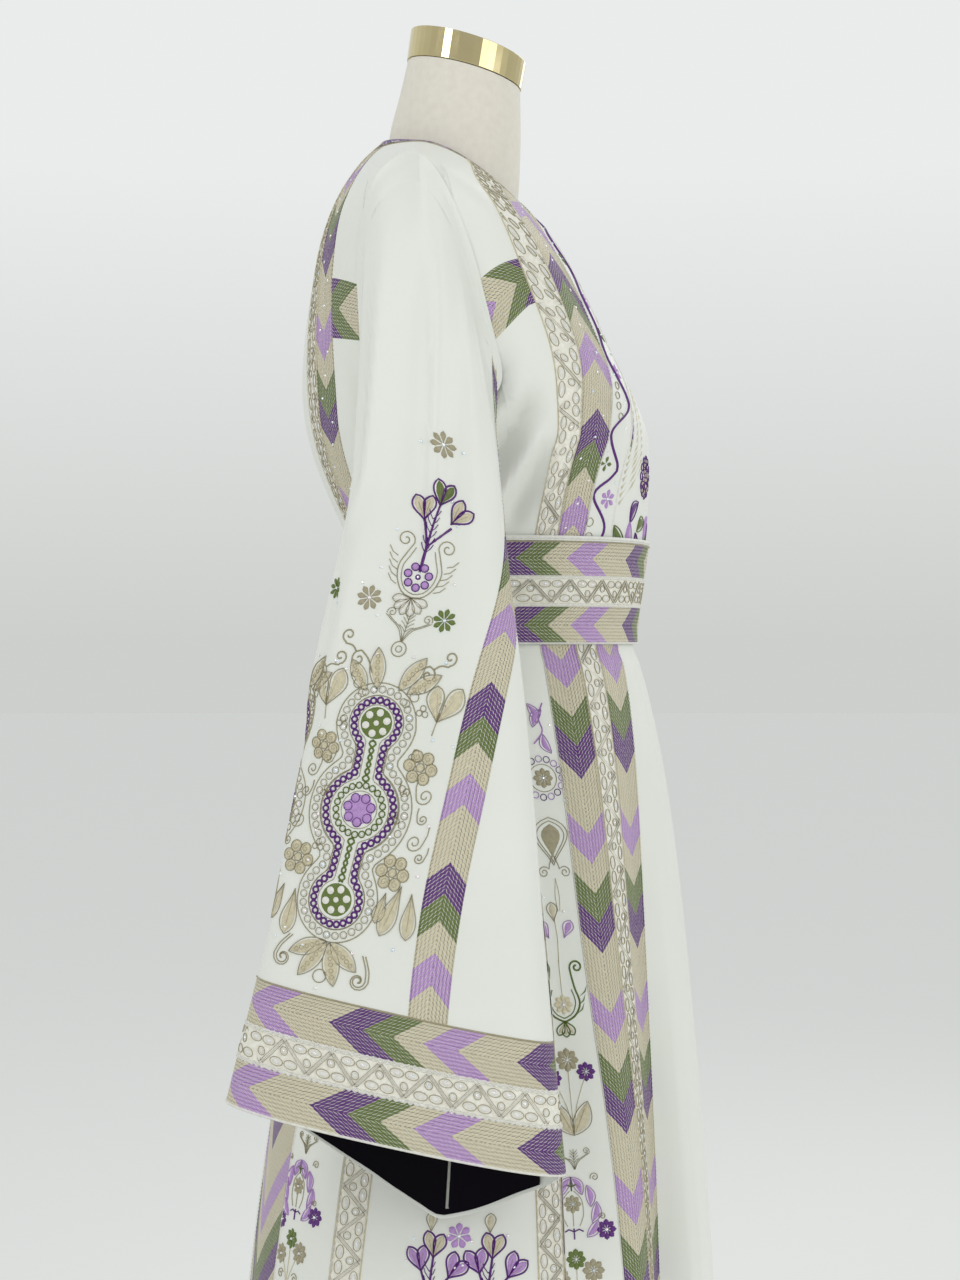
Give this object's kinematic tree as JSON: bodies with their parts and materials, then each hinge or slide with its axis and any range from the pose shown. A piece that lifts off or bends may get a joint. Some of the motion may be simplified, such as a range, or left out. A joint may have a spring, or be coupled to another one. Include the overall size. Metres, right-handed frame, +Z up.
{
  "type": "thobe on a limbless dress form",
  "caption": "Long-sleeved embroidered thobe with bell sleeves and a wide belt, worn by a limbless dress form on a round stand.",
  "frame": {"origin": "centre of the underside of the stand's round foot", "axes": "+Z up; the garment faces -Y, and its wearer's right side is at -X"},
  "size_m": [0.6238, 0.484, 1.5467],
  "materials": {
    "ivory_crepe": "smooth satin-backed crepe with thread embroidery",
    "chevron_embroidery": "dense chevron embroidery in purple, lilac, green and beige thread",
    "lace_embroidery": "raised pale gold zigzag and ring embroidery with small crystals",
    "satin_lining": "very dark purple satin",
    "purple_piping": "folded satin piping",
    "form_linen": "matte cream linen cover",
    "polished_brass": "polished",
    "stand_metal": "satin pale enamel"
  },
  "bodies": {
    "root": {"front_bib": "ivory_crepe", "back_centre": "ivory_crepe", "neck_piping": "purple_piping", "belt": "chevron_embroidery", "skirt_centre_front": "ivory_crepe", "skirt_centre_back": "ivory_crepe", "form_body": "form_linen", "form_neck_cap": "polished_brass", "form_pole": "stand_metal", "form_stand": "stand_metal", "front_cord_panel_right": "ivory_crepe", "front_cord_panel_left": "ivory_crepe", "front_chevron_strip_right": "chevron_embroidery", "front_chevron_strip_left": "chevron_embroidery", "front_lace_strip_right": "lace_embroidery", "front_lace_strip_left": "lace_embroidery", "front_cross_strip_right": "chevron_embroidery", "front_cross_strip_left": "chevron_embroidery", "bodice_side_right": "ivory_crepe", "bodice_side_left": "ivory_crepe", "shoulder_right": "ivory_crepe", "shoulder_left": "ivory_crepe", "back_cross_strip_right": "chevron_embroidery", "back_cross_strip_left": "chevron_embroidery", "back_chevron_strip_right": "chevron_embroidery", "back_chevron_strip_left": "chevron_embroidery", "back_lace_strip_right": "lace_embroidery", "back_lace_strip_left": "lace_embroidery", "sleeve_main_right": "ivory_crepe", "sleeve_main_left": "ivory_crepe", "sleeve_front_right": "ivory_crepe", "sleeve_front_left": "ivory_crepe", "sleeve_chevron_band_right": "chevron_embroidery", "sleeve_chevron_band_left": "chevron_embroidery", "cuff_right": "chevron_embroidery", "cuff_left": "chevron_embroidery", "sleeve_lining_right": "satin_lining", "sleeve_lining_left": "satin_lining", "skirt_inner_chevron_right": "chevron_embroidery", "skirt_inner_chevron_left": "chevron_embroidery", "skirt_front_lace_right": "lace_embroidery", "skirt_front_lace_left": "lace_embroidery", "skirt_outer_chevron_right": "chevron_embroidery", "skirt_outer_chevron_left": "chevron_embroidery", "skirt_front_flower_panel_right": "ivory_crepe", "skirt_front_flower_panel_left": "ivory_crepe", "skirt_side_front_lace_right": "lace_embroidery", "skirt_side_front_lace_left": "lace_embroidery", "skirt_side_panel_right": "ivory_crepe", "skirt_side_panel_left": "ivory_crepe", "skirt_side_back_lace_right": "lace_embroidery", "skirt_side_back_lace_left": "lace_embroidery", "skirt_back_flower_panel_right": "ivory_crepe", "skirt_back_flower_panel_left": "ivory_crepe", "skirt_back_band_right": "chevron_embroidery", "skirt_back_band_left": "chevron_embroidery"}
  },
  "joints": []
}
